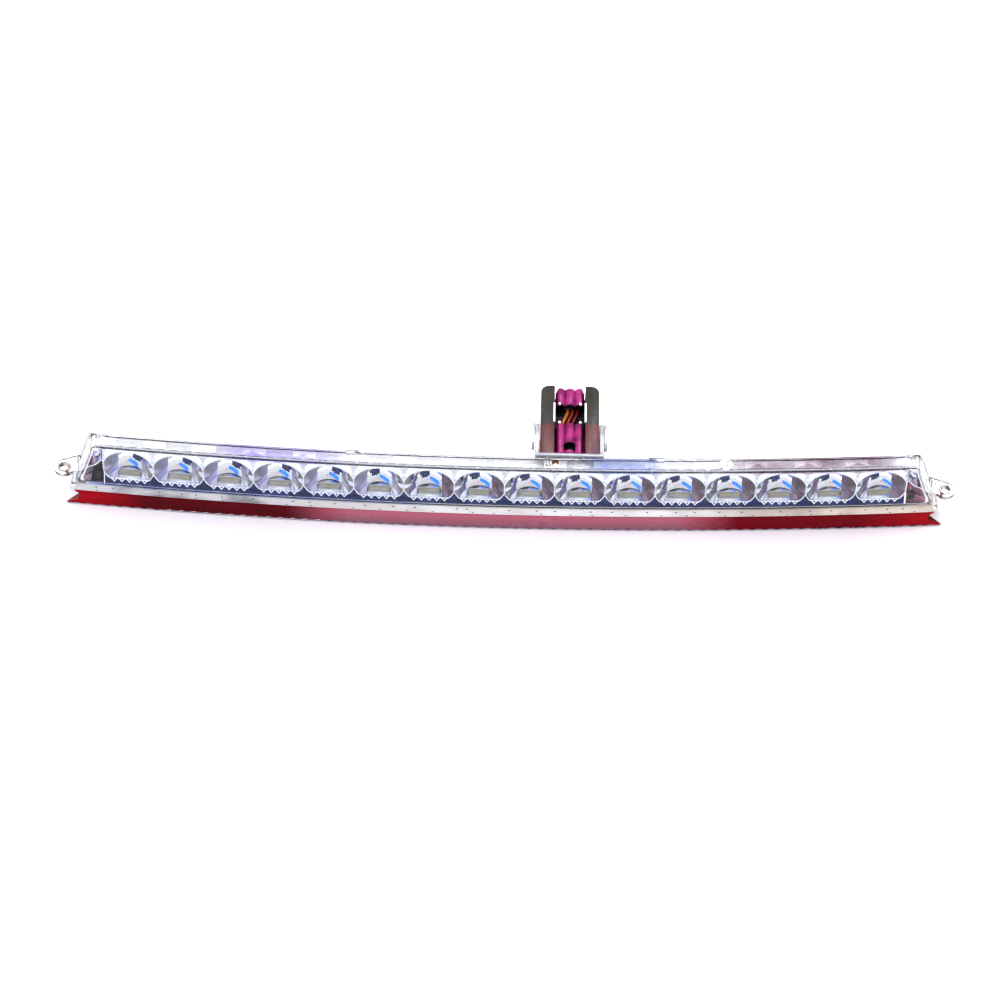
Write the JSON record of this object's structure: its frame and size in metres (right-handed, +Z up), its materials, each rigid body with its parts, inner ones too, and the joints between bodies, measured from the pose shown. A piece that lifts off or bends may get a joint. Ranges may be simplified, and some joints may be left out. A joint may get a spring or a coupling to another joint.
{
  "type": "third brake light",
  "caption": "Slim bowed high-mounted brake lamp bar: a row of reflector cups behind a clear cover, a red lens strip below, mounting ears and a rear plug.",
  "frame": {"origin": "on the resting plane under the middle of the whole lamp's box, midway between the ears and midway between the front of the lens and the far end of the plug", "axes": "+X to the right along the lamp as seen from behind the car, -Y out of the lit front face, +Y the way the plug is pulled off, +Z up"},
  "size_m": [0.4356, 0.0548, 0.0454],
  "materials": {
    "clear_polycarbonate": "clear moulded polycarbonate",
    "red_acrylic": "red tinted transparent acrylic, polished",
    "cream_plastic": "satin cream moulded plastic",
    "vacuum_metalised": "vacuum metalised mirror on moulded plastic",
    "board_laminate": "glass-fibre laminate with solder mask",
    "led_ceramic": "cream ceramic package with a phosphor window",
    "epoxy_black": "black moulded epoxy",
    "plated_steel": "zinc plated steel",
    "ribbon_film": "amber polyimide film",
    "vent_fabric": "white breathable membrane",
    "tinned_brass": "tin plated brass",
    "smoky_polycarbonate": "smoky grey-brown translucent plastic",
    "pink_nylon": "pink moulded nylon",
    "black_rubber": "black silicone rubber",
    "lead_yellow": "yellow wire insulation",
    "lead_orange": "orange wire insulation",
    "lead_red": "red wire insulation"
  },
  "bodies": {
    "lamp": {"rear_housing": "clear_polycarbonate", "front_cover": "clear_polycarbonate", "red_lens": "red_acrylic", "trim_strip": "cream_plastic", "reflector": "vacuum_metalised", "led_board": "board_laminate", "led_01": "led_ceramic", "led_02": "led_ceramic", "led_03": "led_ceramic", "led_04": "led_ceramic", "led_05": "led_ceramic", "led_06": "led_ceramic", "led_07": "led_ceramic", "led_08": "led_ceramic", "led_09": "led_ceramic", "led_10": "led_ceramic", "led_11": "led_ceramic", "led_12": "led_ceramic", "led_13": "led_ceramic", "led_14": "led_ceramic", "led_15": "led_ceramic", "led_16": "led_ceramic", "resistor_1": "epoxy_black", "resistor_2": "epoxy_black", "resistor_3": "epoxy_black", "resistor_4": "epoxy_black", "diode": "epoxy_black", "board_screw_1": "plated_steel", "board_screw_2": "plated_steel", "board_screw_3": "plated_steel", "feed_ribbon": "ribbon_film", "ear_bush_left": "plated_steel", "ear_bush_right": "plated_steel", "vent_membrane": "vent_fabric", "connector_cradle": "clear_polycarbonate", "terminal_1": "tinned_brass", "terminal_2": "tinned_brass", "terminal_3": "tinned_brass"},
    "plug": {"plug_shell": "smoky_polycarbonate", "plug_insert": "pink_nylon", "wire_seal": "black_rubber", "lead_yellow": "lead_yellow", "lead_orange": "lead_orange", "lead_red": "lead_red"},
    "lock": {"plug_lock": "pink_nylon"},
    "left_latch": {"latch_left": "clear_polycarbonate"},
    "right_latch": {"latch_right": "clear_polycarbonate"}
  },
  "joints": [
    {"name": "plug_slide", "type": "slide", "parent": "lamp", "child": "plug", "axis": [0, 1, 0], "range_m": [0, 0.02]},
    {"name": "lock_slide", "type": "slide", "parent": "plug", "child": "lock", "axis": [0, 1, 0], "range_m": [0, 0.003]},
    {"name": "latch_left_flex", "type": "hinge", "parent": "lamp", "child": "left_latch", "pos_m": [0.0138, -0.00461, 0.036], "axis": [0, 0, 1], "range_deg": [0, 8], "stiffness_Nm_per_rad": 0.08},
    {"name": "latch_right_flex", "type": "hinge", "parent": "lamp", "child": "right_latch", "pos_m": [0.0472, -0.00461, 0.036], "axis": [0, 0, -1], "range_deg": [0, 8], "stiffness_Nm_per_rad": 0.08}
  ]
}
